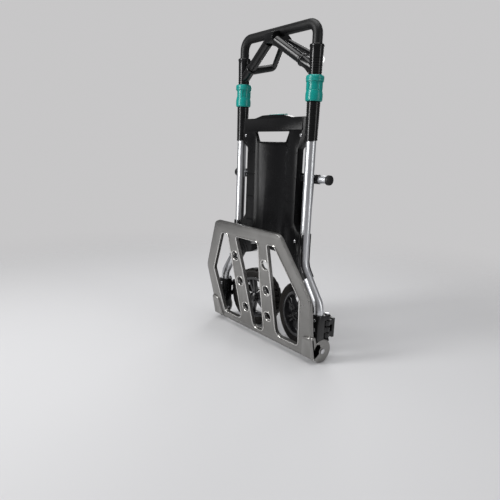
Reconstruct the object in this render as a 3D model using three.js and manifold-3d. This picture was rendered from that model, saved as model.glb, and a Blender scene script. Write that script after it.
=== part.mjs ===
// Folding aluminium hand truck with a telescopic handle, folded for carrying, in millimetres.
// X is the width, +Y points to the back (the user's side), +Z is up, and Z = 0 is the floor.
// The toe plate and the two wheels stand a few degrees off their fully folded position.

import * as THREE from 'three';
import { mergeVertices } from 'three/addons/utils/BufferGeometryUtils.js';
import Module from 'manifold-3d';

const wasm = await Module();
wasm.setup();

// ---- driving dimensions ----

const touchGap = 0.3; // between pieces that touch
const runGap = 0.6; // between pieces that turn or slide on each other

const poleHalfSpacing = 152; // pole axis from the middle plane
const tubeRadius = 14;
const tubeWall = 1.5;
const slideGap = 0.5; // round the inner tubes
const innerTubeRadius = tubeRadius - tubeWall - slideGap;
const handleTopZ = 919; // centre line of the handle's top bar
const handleBendRadius = 30;
const gripWall = 1.5;
const gripRadius = innerTubeRadius + gripWall;

const footHalfSpacing = 223; // foot of each tube from the middle plane
const tubeBendRadius = 62;
const tubeBendTopZ = 268; // upper corner of the outward bend
const tubeBendLowZ = 166; // lower corner of the outward bend
const tubeFootZ = 97;

const lockBottomZ = 722;
const lockTopZ = 788;
const sleeveBottomZ = 617;
const fittingDrop = 54; // upper end of the fittings under the handle's centre line
const fittingTopZ = handleTopZ - fittingDrop;

const leanDegrees = 12; // toe plate off the vertical, and wheels off the frame plane
const pivotY = 6;
const pivotZ = 35; // toe plate pivot above the floor
const plateHeel = 15; // plate edge below the pivot's foot on the plate
const plateLength = 362;
const plateTopHalfWidth = 149;
const plateKneeHalfWidth = 245;
const plateHeelHalfWidth = 232;
const plateKneeHeight = 173; // above the pivot's foot
const plateThickness = 11;
const plateSkin = 4;
const plateRib = 4;
const cheekThickness = 9.5;

const wheelRadius = 98;
const wheelWidth = 40;
const wheelCentreZ = 99;
const tyreBeadRadius = 71;
const axleRadius = 6;
const wheelPivotX = 234;
const wheelPivotSetback = 10; // wheel hinge behind the tube's skin
const wheelPivotY = tubeRadius + wheelPivotSetback;
const wheelArmLength = 132.4; // wheel centre from the wheel hinge
const wheelOffset = 3.4; // wheel's middle plane off the wheel hinge
const armThickness = 8;
const knuckleRadius = 10.2;
const knuckleChamfer = 3;
const hingePinRadius = 4;

const panelHalfWidth = 111;
const panelFrontY = -9;
const panelBackY = 15;
const panelWall = 3.5;
const rimTopZ = 686;
const rimBottomZ = 648;
const earTopZ = 368;

const supportHingeZ = 318;
const supportBarZ = 516;
const supportBarRadius = 11;
const supportBarReach = 52; // each bar end past the pole's axis
const supportBarHalfLength = poleHalfSpacing + supportBarReach;
const barCollarWall = 2.5;
const supportHingeY = tubeRadius + supportBarRadius + barCollarWall + touchGap + 0.2;
const supportArmInnerX = 112;
const supportAxleRadius = 5;
const leverHalfWidth = 31;
const leverBottomZ = 670;

// ---- materials ----

const finish = (color, roughness, metalness) =>
  new THREE.MeshStandardMaterial({ color, roughness, metalness });
const aluminium = finish(0xb9bcc0, 0.35, 0.9);
const castAluminium = finish(0xa29f9b, 0.5, 0.8);
const steel = finish(0xc9ccd0, 0.25, 1.0);
const blackPlastic = finish(0x17181a, 0.35, 0.0);
const greyPlastic = finish(0x2e2e31, 0.55, 0.0);
const softRubber = finish(0x26272a, 0.75, 0.0);
const tyreRubber = finish(0x1b1a19, 0.9, 0.0);
const tealPlastic = finish(0x12a79d, 0.35, 0.0);

// ---- solids, joins and cuts ----

function solid(geometry) {
  const bare = geometry.clone();
  bare.deleteAttribute('normal');
  bare.deleteAttribute('uv');
  const merged = mergeVertices(bare, 1e-4);
  return new wasm.Manifold(
    new wasm.Mesh({
      numProp: 3,
      vertProperties: merged.attributes.position.array,
      triVerts: Uint32Array.from(merged.index.array),
    }),
  );
}

function geometryOf(manifold) {
  const { vertProperties, triVerts } = manifold.getMesh();
  const geometry = new THREE.BufferGeometry();
  geometry.setAttribute('position', new THREE.BufferAttribute(vertProperties, 3));
  geometry.setIndex(new THREE.BufferAttribute(triVerts, 1));
  geometry.computeVertexNormals();
  return geometry;
}

const join = (first, ...rest) =>
  geometryOf(rest.reduce((sum, piece) => sum.add(solid(piece)), solid(first)));

const cut = (body, ...tools) =>
  geometryOf(tools.reduce((left, tool) => left.subtract(solid(tool)), solid(body)));

// The other side's copy of a piece: mirrored in X, with its faces still pointing out.
function mirrored(geometry) {
  const copy = mergeVertices(geometry.clone().deleteAttribute('normal').deleteAttribute('uv'), 1e-4);
  copy.scale(-1, 1, 1);
  const index = copy.index.array;
  for (let i = 0; i < index.length; i += 3) {
    [index[i], index[i + 1]] = [index[i + 1], index[i]];
  }
  copy.computeVertexNormals();
  return copy;
}

// ---- outlines and prisms ----

const radians = THREE.MathUtils.degToRad;

// A closed outline through corners [x, y, radius], each corner rounded by an arc.
function roundedOutline(corners, steps = 3) {
  const points = [];
  const count = corners.length;
  corners.forEach(([x, y, radius = 0], i) => {
    const here = new THREE.Vector2(x, y);
    if (!radius) {
      points.push(here);
      return;
    }
    const [px, py] = corners[(i + count - 1) % count];
    const [nx, ny] = corners[(i + 1) % count];
    const back = new THREE.Vector2(px, py).sub(here).normalize();
    const ahead = new THREE.Vector2(nx, ny).sub(here).normalize();
    const halfAngle = Math.acos(THREE.MathUtils.clamp(back.dot(ahead), -1, 1)) / 2;
    const middle = back.clone().add(ahead).normalize();
    const centre = here.clone().addScaledVector(middle, radius / Math.sin(halfAngle));
    const run = radius / Math.tan(halfAngle);
    const start = here.clone().addScaledVector(back, run).sub(centre);
    const end = here.clone().addScaledVector(ahead, run).sub(centre);
    const turn = Math.atan2(start.cross(end), start.dot(end));
    for (let k = 0; k <= steps; k++) {
      points.push(start.clone().rotateAround(new THREE.Vector2(), (turn * k) / steps).add(centre));
    }
  });
  return points;
}

// An outline given on the +X side, from the middle plane round to the middle plane, made whole.
const bothSides = (corners) => [
  ...corners,
  ...corners
    .filter(([x]) => x > 0)
    .map(([x, y, radius]) => [-x, y, radius])
    .reverse(),
];

const circle = (radius, sides, x = 0, y = 0) =>
  Array.from({ length: sides }, (_, i) => {
    const angle = (2 * Math.PI * i) / sides;
    return new THREE.Vector2(x + radius * Math.cos(angle), y + radius * Math.sin(angle));
  });

// The outline moved outwards by a distance, for an outline that runs anticlockwise.
function grown(points, distance) {
  const count = points.length;
  return points.map((point, i) => {
    const into = point.clone().sub(points[(i + count - 1) % count]).normalize();
    const out = points[(i + 1) % count].clone().sub(point).normalize();
    const normal = new THREE.Vector2(into.y + out.y, -into.x - out.x).normalize();
    const spread = normal.x * out.y - normal.y * out.x;
    return point.clone().addScaledVector(normal, distance / Math.max(spread, 0.5));
  });
}

function anticlockwise(points) {
  return THREE.ShapeUtils.isClockWise(points) ? points.slice().reverse() : points;
}

function extruded(outline, depth, holes = []) {
  const shape = new THREE.Shape(outline);
  shape.holes = holes.map((hole) => new THREE.Path(hole));
  return new THREE.ExtrudeGeometry(shape, { depth, bevelEnabled: false, steps: 1 });
}

const alongZ = (outline, z0, z1, holes) => extruded(outline, z1 - z0, holes).translate(0, 0, z0);

// An outline in (X, Z), pushed along Y.
const toXZ = new THREE.Matrix4().makeBasis(
  new THREE.Vector3(1, 0, 0),
  new THREE.Vector3(0, 0, 1),
  new THREE.Vector3(0, -1, 0),
);
const alongY = (outline, y0, y1, holes) =>
  extruded(outline, y1 - y0, holes).applyMatrix4(toXZ).translate(0, y1, 0);

// An outline in (Y, Z), pushed along X.
const toYZ = new THREE.Matrix4().makeBasis(
  new THREE.Vector3(0, 1, 0),
  new THREE.Vector3(0, 0, 1),
  new THREE.Vector3(1, 0, 0),
);
const alongX = (outline, x0, x1, holes) =>
  extruded(outline, x1 - x0, holes).applyMatrix4(toYZ).translate(x0, 0, 0);

const box = (x0, x1, y0, y1, z0, z1) =>
  new THREE.BoxGeometry(x1 - x0, y1 - y0, z1 - z0).translate(
    (x0 + x1) / 2,
    (y0 + y1) / 2,
    (z0 + z1) / 2,
  );

// ---- turned pieces and tubes ----

// A turned piece about the Z axis from a closed profile of [radius, z] corners.
function turned(profile, sides = 24) {
  const points = profile.map(([r, z]) => new THREE.Vector2(r, z));
  points.push(points[0].clone());
  const lathe = new THREE.LatheGeometry(points, sides);
  lathe.rotateX(Math.PI / 2);
  const bare = mergeVertices(lathe.deleteAttribute('normal').deleteAttribute('uv'), 1e-4);
  const made = solid(bare);
  return geometryOf(made.volume() < 0 ? solid(flipped(bare)) : made);
}

function flipped(geometry) {
  const copy = geometry.clone();
  const index = copy.index.array;
  for (let i = 0; i < index.length; i += 3) {
    [index[i], index[i + 1]] = [index[i + 1], index[i]];
  }
  return copy;
}

const ring = (outer, inner, z0, z1, sides = 24) =>
  alongZ(circle(outer, sides), z0, z1, [circle(inner, sides)]);

const rod = (radius, z0, z1, sides = 18) => alongZ(circle(radius, sides), z0, z1);

// Turns a piece made along +Z so that it runs from one point along a direction.
function aimed(geometry, from, direction) {
  const turn = new THREE.Quaternion().setFromUnitVectors(
    new THREE.Vector3(0, 0, 1),
    direction.clone().normalize(),
  );
  return geometry.applyQuaternion(turn).translate(from.x, from.y, from.z);
}

// A centre line held as stations, so that a straight run needs only its two ends.
class StationPath extends THREE.Curve {
  constructor(stations) {
    super();
    this.stations = stations;
  }

  getPoint(t, target = new THREE.Vector3()) {
    const last = this.stations.length - 1;
    const i = Math.min(Math.floor(t * last + 1e-9), last - 1);
    return target.lerpVectors(this.stations[i], this.stations[i + 1], t * last - i);
  }

  getPointAt(u, target) {
    return this.getPoint(u, target);
  }

  getTangentAt(u, target = new THREE.Vector3()) {
    const last = this.stations.length - 1;
    const i = Math.round(u * last);
    target.set(0, 0, 0);
    if (i > 0) target.add(this.stations[i].clone().sub(this.stations[i - 1]).normalize());
    if (i < last) target.add(this.stations[i + 1].clone().sub(this.stations[i]).normalize());
    return target.normalize();
  }
}

// Straight runs between corners, joined by arcs of one bend radius.
function bentPath(corners, radius, steps = 4) {
  const stations = [corners[0]];
  for (let i = 1; i < corners.length - 1; i++) {
    const into = corners[i].clone().sub(corners[i - 1]).normalize();
    const out = corners[i + 1].clone().sub(corners[i]).normalize();
    const turn = into.angleTo(out);
    const side = out.clone().addScaledVector(into, -out.dot(into)).normalize();
    const start = corners[i].clone().addScaledVector(into, -radius * Math.tan(turn / 2));
    for (let k = 0; k <= steps; k++) {
      const angle = (turn * k) / steps;
      stations.push(
        start
          .clone()
          .addScaledVector(into, radius * Math.sin(angle))
          .addScaledVector(side, radius * (1 - Math.cos(angle))),
      );
    }
  }
  stations.push(corners.at(-1));
  return new StationPath(stations);
}

function swept(path, outline, holes = []) {
  const shape = new THREE.Shape(outline);
  shape.holes = holes.map((hole) => new THREE.Path(hole));
  const steps = path.stations.length - 1;
  return new THREE.ExtrudeGeometry(shape, { steps, extrudePath: path, bevelEnabled: false });
}

const tube = (path, outer, inner, sides = 16) =>
  swept(path, circle(outer, sides), inner ? [circle(inner, sides)] : []);

// ---- placing ----

const truck = new THREE.Group();
truck.name = 'folding_hand_truck';

function add(parent, name, geometry, material) {
  const mesh = new THREE.Mesh(geometry, material);
  mesh.name = name;
  parent.add(mesh);
}

function addPair(name, geometry, material) {
  add(truck, `right_${name}`, geometry, material);
  add(truck, `left_${name}`, mirrored(geometry), material);
}

const at = (x, y, z) => new THREE.Vector3(x, y, z);

// ---- main tubes ----

const lockSeatZ = lockTopZ - 20; // upper end of the outer tubes, inside the locks
const footTubePath = bentPath(
  [
    at(poleHalfSpacing, 0, lockSeatZ),
    at(poleHalfSpacing, 0, tubeBendTopZ),
    at(footHalfSpacing, 0, tubeBendLowZ),
    at(footHalfSpacing, 0, tubeFootZ),
  ],
  tubeBendRadius,
);
addPair('frame_tube', tube(footTubePath, tubeRadius, tubeRadius - tubeWall), aluminium);

// The room that other pieces leave round a main tube.
const tubeRoom = () => tube(footTubePath, tubeRadius + touchGap, 0);

// ---- sleeves and twist locks on the poles ----

const sleeveBore = tubeRadius + touchGap;
const sleeveTopRadius = tubeRadius + 4.4;
const sleeveBottomRadius = tubeRadius + 3;

function poleSleeve() {
  const top = lockBottomZ - touchGap;
  return turned([
    [sleeveBore, sleeveBottomZ],
    [sleeveBottomRadius, sleeveBottomZ],
    [sleeveTopRadius, top],
    [sleeveBore, top],
  ]).translate(poleHalfSpacing, 0, 0);
}
addPair('pole_sleeve', poleSleeve(), blackPlastic);

const lockCapBottomZ = lockTopZ - 16;
const lockWall = 9.2;
const lockRadius = tubeRadius + lockWall;

function lockCollar() {
  const top = lockCapBottomZ - touchGap;
  const body = turned(
    [
      [tubeRadius + runGap, lockBottomZ],
      [lockRadius - 2.5, lockBottomZ],
      [lockRadius - 0.4, lockBottomZ + 3],
      [lockRadius, lockBottomZ + 14],
      [lockRadius - 0.9, lockBottomZ + 27],
      [lockRadius - 0.2, lockBottomZ + 33],
      [lockRadius, top - 2],
      [lockRadius - 0.8, top],
      [tubeRadius + runGap, top],
    ],
    28,
  );
  const recesses = [0, 120, 240].map((angle) =>
    box(lockRadius - 1.3, lockRadius + 4, -11, 11, lockBottomZ + 28, top + 1).rotateZ(radians(angle - 60)),
  );
  return cut(body, ...recesses).translate(poleHalfSpacing, 0, 0);
}
addPair('lock_collar', lockCollar(), tealPlastic);

function lockCap() {
  const radius = lockRadius + 1.1;
  return turned(
    [
      [tubeRadius + touchGap, lockCapBottomZ],
      [radius, lockCapBottomZ],
      [radius, lockTopZ - 4],
      [radius - 1.2, lockTopZ - 1],
      [radius - 3, lockTopZ],
      [innerTubeRadius + runGap, lockTopZ],
      [innerTubeRadius + runGap, lockSeatZ + touchGap],
      [tubeRadius + touchGap, lockSeatZ + touchGap],
    ],
    28,
  ).translate(poleHalfSpacing, 0, 0);
}
addPair('lock_cap', lockCap(), tealPlastic);

// ---- handle ----

const innerTubeBottomZ = tubeBendTopZ + 62; // clear of the outward bends
const handleBar = bentPath(
  [
    at(poleHalfSpacing, 0, innerTubeBottomZ),
    at(poleHalfSpacing, 0, handleTopZ),
    at(-poleHalfSpacing, 0, handleTopZ),
    at(-poleHalfSpacing, 0, innerTubeBottomZ),
  ],
  handleBendRadius,
);
add(truck, 'handle_tube', tube(handleBar, innerTubeRadius, innerTubeRadius - tubeWall), aluminium);

const gripEndZ = fittingTopZ - 15;
const gripPath = bentPath(
  [
    at(poleHalfSpacing, 0, gripEndZ),
    at(poleHalfSpacing, 0, handleTopZ),
    at(-poleHalfSpacing, 0, handleTopZ),
    at(-poleHalfSpacing, 0, gripEndZ),
  ],
  handleBendRadius,
);
add(truck, 'handle_grip', tube(gripPath, gripRadius, innerTubeRadius + touchGap), softRubber);

// The brace arms run from the fittings up to an apex under the top bar, a little to its front.
const braceFoot = at(poleHalfSpacing, 0, handleTopZ - 116);
const braceApex = at(0, -25, handleTopZ - 18);
const braceDirection = braceApex.clone().sub(braceFoot).normalize();
const braceRadius = 13.5;
const socketLength = 54;
const socketRadius = 14.8;
const fittingBottomRadius = innerTubeRadius + 5.2;
const fittingTopRadius = innerTubeRadius + 6.5;

function handleFitting() {
  const bottom = lockTopZ + touchGap;
  const barrel = turned([
    [innerTubeRadius + touchGap, bottom],
    [fittingBottomRadius, bottom],
    [fittingTopRadius, fittingTopZ - 7],
    [fittingTopRadius + 1.2, fittingTopZ - 6],
    [fittingTopRadius + 1.2, fittingTopZ - 1],
    [fittingTopRadius - 0.5, fittingTopZ],
    [gripRadius + touchGap, fittingTopZ],
    [gripRadius + touchGap, gripEndZ - touchGap],
    [innerTubeRadius + touchGap, gripEndZ - touchGap],
  ]).translate(poleHalfSpacing, 0, 0);
  const socket = aimed(rod(socketRadius, 0, socketLength), braceFoot, braceDirection);
  const collar = aimed(
    rod(socketRadius + 2, socketLength - 5, socketLength),
    braceFoot,
    braceDirection,
  );
  const webFoot = poleHalfSpacing - fittingBottomRadius + 2;
  const webZ = braceFoot.z - 13;
  const web = alongY(
    [
      new THREE.Vector2(webFoot, webZ),
      new THREE.Vector2(webFoot, webZ + 22),
      new THREE.Vector2(poleHalfSpacing - 44, webZ + 36),
      new THREE.Vector2(poleHalfSpacing - 44, webZ + 26),
    ],
    -8,
    -4,
  );
  const window = alongY(circle(3.2, 12, poleHalfSpacing - 26, webZ + 15), -12, 0);
  const bore = rod(innerTubeRadius + touchGap, bottom - 1, gripEndZ, 24).translate(
    poleHalfSpacing,
    0,
    0,
  );
  return cut(join(barrel, socket, collar, web), window, bore);
}
addPair('handle_fitting', handleFitting(), blackPlastic);

const apexHalfWidth = 17;

function braceArm() {
  const toApex = braceApex.distanceTo(braceFoot);
  const arm = aimed(
    rod(braceRadius, socketLength + touchGap, toApex + 20),
    braceFoot,
    braceDirection,
  );
  return cut(arm, apexRoom(), topBarClearance());
}

// The room for the apex bracket, from beyond the middle plane.
const apexRoom = () =>
  box(-80, apexHalfWidth + touchGap, -80, 80, handleTopZ - 59, handleTopZ + 41);

const topBarClearance = () =>
  alongX(circle(gripRadius + touchGap, 24, 0, handleTopZ), -poleHalfSpacing, poleHalfSpacing);

addPair('brace_arm', braceArm(), blackPlastic);

// The knuckle guards stand back from the brace arms: a thick lower bar and a thin outer bar.
const guardFoot = at(poleHalfSpacing - 4, 6, handleTopZ - 91);
const guardCorner = at(poleHalfSpacing - 55, 78, handleTopZ - 74);
const guardTop = at(6, 27, handleTopZ - 20);

function handGuard() {
  const lowerBar = tube(bentPath([guardFoot, guardCorner], 1), 11, 0, 16);
  const corner = new THREE.SphereGeometry(10.8, 16, 10).translate(
    guardCorner.x,
    guardCorner.y,
    guardCorner.z,
  );
  const outerBar = tube(bentPath([guardCorner, guardTop], 1), 8.4, 0, 16);
  const pole = rod(fittingTopRadius + 0.2, handleTopZ - 139, handleTopZ - 39, 32).translate(
    poleHalfSpacing,
    0,
    0,
  );
  const arm = aimed(rod(socketRadius + 2 + touchGap, 0, 180), braceFoot, braceDirection);
  return cut(
    join(lowerBar, corner, outerBar),
    pole,
    arm,
    topBarClearance(),
    apexRoom(),
  );
}
addPair('hand_guard', handGuard(), blackPlastic);

function apexBracket() {
  const profile = roundedOutline([
    [-40, handleTopZ - 23, 6],
    [-34, handleTopZ - 35, 8],
    [20, handleTopZ - 35, 8],
    [36, handleTopZ - 25, 5],
    [36, handleTopZ - 14, 4],
    [gripRadius + 1.5, handleTopZ - 1, 0],
    [-gripRadius - 1.5, handleTopZ - 1, 0],
    [-36, handleTopZ - 7, 4],
  ]);
  return cut(alongX(profile, -apexHalfWidth, apexHalfWidth), topBarClearance());
}
add(truck, 'apex_bracket', apexBracket(), blackPlastic);

// ---- back panel ----

const shoulderZ = 612;
const poleClearance = sleeveTopRadius + touchGap;

// Where the inner flank of a bent tube lies, at a height in its slanted run.
const slope = (footHalfSpacing - poleHalfSpacing) / (tubeBendTopZ - tubeBendLowZ);
const slantClearance = (tubeRadius + 1) * Math.hypot(1, slope);
const flankX = (z) => poleHalfSpacing + (tubeBendTopZ - z) * slope - slantClearance;

const earX = poleHalfSpacing - tubeRadius - 0.6;
const panelOutline = anticlockwise(
  roundedOutline(
    bothSides([
      [0, 288, 0],
      [40, 288, 10],
      [77, 267, 12],
      [130, 254, 8],
      [flankX(228) - 9.6, 222, 5],
      [flankX(228), 228, 4],
      [earX, 276, 12],
      [earX, earTopZ - 8, 4],
      [126, earTopZ, 10],
      [panelHalfWidth, 386, 12],
      [panelHalfWidth, 598, 10],
      [132, shoulderZ, 10],
      [poleHalfSpacing, shoulderZ + 6, 0],
      [poleHalfSpacing, rimTopZ - 2, 0],
      [80, rimTopZ - 2, 30],
      [46, rimTopZ + 6, 30],
      [0, rimTopZ + 7, 0],
    ]),
  ),
);

function backPanel() {
  const sheet = alongY(panelOutline, panelFrontY, panelBackY);
  const rimBlock = alongY(
    roundedOutline([
      [-126, rimBottomZ, 3],
      [126, rimBottomZ, 3],
      [126, rimTopZ - 3, 3],
      [-126, rimTopZ - 3, 3],
    ]),
    panelFrontY - 3,
    panelBackY + 3,
  );
  const lug = alongX(
    roundedOutline([
      [panelBackY - 4, supportHingeZ - 14, 2],
      [supportHingeY + 4, supportHingeZ - 14, 6],
      [supportHingeY + 12, supportHingeZ, 8],
      [supportHingeY + 4, supportHingeZ + 14, 6],
      [panelBackY - 4, supportHingeZ + 22, 2],
    ]),
    96,
    supportArmInnerX - 0.8,
  );
  const body = join(sheet, rimBlock, lug, mirrored(lug));

  const troughHalfWidth = 72;
  const troughDepth = 12;
  const troughRadius = (troughHalfWidth ** 2 + troughDepth ** 2) / (2 * troughDepth);
  const trough = rod(troughRadius, 270, rimBottomZ, 56).translate(
    0,
    panelFrontY + troughDepth - troughRadius,
    0,
  );
  const opening = alongY(
    roundedOutline([
      [-61, 616, 5],
      [61, 616, 5],
      [75, rimBottomZ - 2, 3],
      [-75, rimBottomZ - 2, 3],
    ]),
    -40,
    40,
  );
  const poles = [-1, 1].map((side) => {
    const sleeveRoom = rod(poleClearance, sleeveBottomZ - 17, lockTopZ - 8, 32);
    return sleeveRoom.translate(side * poleHalfSpacing, 0, 0);
  });
  const pockets = [];
  const pocketPitch = 78;
  for (let z = 302; z + 66 < 606; z += pocketPitch) {
    const top = z + pocketPitch - panelWall;
    pockets.push(box(-60, -panelWall / 2, panelFrontY + troughDepth + 4, 60, z, top));
    pockets.push(box(panelWall / 2, 60, panelFrontY + troughDepth + 4, 60, z, top));
    if (z > 360) {
      pockets.push(box(-107, -76, panelFrontY + panelWall, 60, z + 14, top));
      pockets.push(box(76, 107, panelFrontY + panelWall, 60, z + 14, top));
    }
  }
  const besideGrip = box(60, 107, 0, 60, 612, rimBottomZ - 2);
  pockets.push(besideGrip, mirrored(besideGrip));
  const axleBore = alongX(
    circle(supportAxleRadius + runGap / 2, 20, supportHingeY, supportHingeZ),
    -200,
    200,
  );
  const leverSeat = box(-leverHalfWidth - 1, leverHalfWidth + 1, 3, 60, leverBottomZ - 5, 720);
  const tubes = [tubeRoom(), mirrored(tubeRoom())];
  return cut(body, trough, opening, ...poles, ...tubes, ...pockets, axleBore, leverSeat);
}

add(truck, 'back_panel', backPanel(), greyPlastic);

add(
  truck,
  'release_lever',
  alongX(
    roundedOutline([
      [3.6, leverBottomZ, 1],
      [17, leverBottomZ, 2],
      [26, leverBottomZ + 14, 3],
      [27, leverBottomZ + 22, 2],
      [20, leverBottomZ + 27, 3],
      [3.6, leverBottomZ + 25, 2],
    ]),
    -leverHalfWidth,
    leverHalfWidth,
  ),
  tealPlastic,
);

// ---- screws and studs on the panel's front ----

function screwHead(radius, height) {
  return turned(
    [
      [0, 0],
      [radius, 0],
      [radius * 0.9, height * 0.6],
      [radius * 0.5, height],
      [radius * 0.25, height],
      [radius * 0.25, height * 0.4],
      [0, height * 0.4],
    ],
    16,
  )
    .rotateX(Math.PI / 2)
    .translate(0, panelFrontY - touchGap, 0);
}

const screwPlaces = {
  upper: [121.5, 634],
  middle: [121.5, 336],
  lower: [flankX(240) - 7.2, 240],
};
for (const [place, [x, z]] of Object.entries(screwPlaces)) {
  addPair(`${place}_panel_screw`, screwHead(5, 3).translate(x, 0, z), steel);
}

addPair('catch_stud', screwHead(8, 16).translate(56, 0, 304), steel);

// ---- tube clamps: open channels behind the bends, held to the panel's ears ----

const clampPath = bentPath(
  [
    at(poleHalfSpacing, 0, earTopZ - 6),
    at(poleHalfSpacing, 0, tubeBendTopZ),
    at(poleHalfSpacing + (tubeBendTopZ - 236) * slope, 0, 236),
  ],
  tubeBendRadius,
);

function tubeClamp() {
  const inner = tubeRadius + touchGap;
  const outer = tubeRadius + 4;
  const openHalfAngle = 62;
  const points = [];
  const steps = 10;
  for (let k = 0; k <= steps; k++) {
    const angle = radians(-90 + openHalfAngle + ((360 - 2 * openHalfAngle) * k) / steps);
    points.push(new THREE.Vector2(outer * Math.cos(angle), outer * Math.sin(angle)));
  }
  for (let k = steps; k >= 0; k--) {
    const angle = radians(-90 + openHalfAngle + ((360 - 2 * openHalfAngle) * k) / steps);
    points.push(new THREE.Vector2(inner * Math.cos(angle), inner * Math.sin(angle)));
  }
  const channel = swept(clampPath, points);
  const panelRoom = alongY(
    grown(panelOutline, touchGap),
    panelFrontY - touchGap,
    panelBackY + touchGap,
  );
  return cut(channel, panelRoom);
}
addPair('tube_clamp', tubeClamp(), blackPlastic);

// ---- wheel brackets at the feet of the tubes ----

const bracketTopZ = 142;
const bracketBottomZ = 52;
const bracketInnerX = footHalfSpacing - tubeRadius - 2.5;
const bracketOuterX = footHalfSpacing + tubeRadius + 2.5;
const cheekInnerX = 230.4;
const cheekOuterX = cheekInnerX + cheekThickness;
const pivotRadius = 5;

// Knuckles from the top down: the bracket's and the wheel arm's take turns.
const knuckleGap = 0.7;
const knuckleHeight = (bracketTopZ - bracketBottomZ) / 5;
const knuckleBand = (i) => [
  bracketTopZ - (i + 1) * knuckleHeight + knuckleGap / 2,
  bracketTopZ - i * knuckleHeight - knuckleGap / 2,
];

function knuckle(i) {
  const [z0, z1] = knuckleBand(i);
  return turned(
    [
      [0, z0],
      [knuckleRadius - knuckleChamfer, z0],
      [knuckleRadius, z0 + knuckleChamfer],
      [knuckleRadius, z1 - knuckleChamfer],
      [knuckleRadius - knuckleChamfer, z1],
      [0, z1],
    ],
    20,
  );
}

function wheelBracket() {
  const block = alongZ(
    roundedOutline([
      [bracketInnerX, -16, 7],
      [bracketOuterX, -16, 7],
      [bracketOuterX + 1, wheelPivotY - 12, 6],
      [bracketInnerX + 2, wheelPivotY - 2, 5],
    ]),
    bracketBottomZ,
    bracketTopZ,
  );
  const knuckles = [0, 2, 4].flatMap((i) => {
    const [z0, z1] = knuckleBand(i);
    return [knuckle(i), box(-8, 6, -14, 0, z0 + 1, z1 - 1)];
  });
  const barrel = join(...knuckles).translate(wheelPivotX, wheelPivotY, 0);
  const tongue = alongX(
    roundedOutline([
      [pivotY - 14, pivotZ - 2, 12],
      [pivotY - 6, pivotZ - 16, 8],
      [pivotY + 6, pivotZ - 16, 8],
      [pivotY + 15, pivotZ, 12],
      [pivotY + 15, bracketBottomZ + 6, 0],
      [-10, bracketBottomZ + 6, 0],
    ]),
    bracketInnerX + 6,
    cheekInnerX - 0.5,
  );
  const frontChamfer = alongX(
    [new THREE.Vector2(-30, 96), new THREE.Vector2(-30, 50), new THREE.Vector2(-4, 50)],
    180,
    260,
  );
  const footSeat = rod(tubeRadius + touchGap, tubeFootZ - touchGap, tubeFootZ + 4, 16).translate(
    footHalfSpacing,
    0,
    0,
  );
  const cheekRoom = alongX(circle(pivotZ + 1, 28, pivotY, pivotZ), cheekInnerX - 0.5, 260);
  const pivotBore = alongX(circle(pivotRadius + touchGap, 20, pivotY, pivotZ), 180, 260);
  const pinBore = rod(hingePinRadius + touchGap, 40, 170, 16).translate(wheelPivotX, wheelPivotY, 0);
  const armRoom = [1, 3].map((i) => {
    const [z0, z1] = knuckleBand(i);
    return rod(knuckleRadius + 0.8, z0 - knuckleGap, z1 + knuckleGap, 24).translate(
      wheelPivotX,
      wheelPivotY,
      0,
    );
  });
  return cut(
    join(block, barrel, tongue),
    frontChamfer,
    footSeat,
    tubeRoom(),
    cheekRoom,
    pivotBore,
    pinBore,
    ...armRoom,
  );
}
addPair('wheel_bracket', wheelBracket(), blackPlastic);

addPair(
  'hinge_pin',
  join(
    rod(hingePinRadius, 2 * pivotZ + 1, bracketTopZ + touchGap + 1, 16),
    rod(hingePinRadius + 3, bracketTopZ + touchGap, bracketTopZ + 4, 16),
  ).translate(wheelPivotX, wheelPivotY, 0),
  steel,
);

function pivotBolt() {
  const shank = alongX(circle(pivotRadius, 20, pivotY, pivotZ), bracketInnerX + 4, cheekOuterX + 1);
  const head = alongX(
    circle(pivotRadius + 3.5, 6, pivotY, pivotZ),
    cheekOuterX + touchGap,
    cheekOuterX + 4,
  );
  return join(shank, head);
}
addPair('pivot_bolt', pivotBolt(), steel);

// ---- toe plate, drawn upright with its pivot at the origin, then leaned ----

const plateFrontY = -pivotZ; // the underside lies on the floor when the plate is down
const plateTop = plateLength - plateHeel;

const plateOutline = anticlockwise(
  roundedOutline(
    bothSides([
      [0, -plateHeel, 0],
      [plateHeelHalfWidth, -plateHeel, 16],
      [plateKneeHalfWidth, plateKneeHeight, 40],
      [plateTopHalfWidth, plateTop, 26],
      [0, plateTop, 0],
    ]),
    4,
  ),
);

const centreWindow = anticlockwise(
  roundedOutline(
    [
      [52, 307, 9],
      [-52, 307, 9],
      [-38, 190, 60],
      [-24, 2, 20],
      [24, 2, 20],
      [38, 190, 60],
    ],
    3,
  ),
);

const outerWindow = anticlockwise(
  roundedOutline(
    [
      [93, 308, 9],
      [123, 308, 12],
      [203, 168, 22],
      [178, 12, 14],
      [84, 12, 22],
      [91, 190, 60],
    ],
    3,
  ),
);

const holePlaces = [
  [71, 240],
  [63, 155],
  [53.5, 65],
];
const holeRadius = 14.5;

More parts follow.
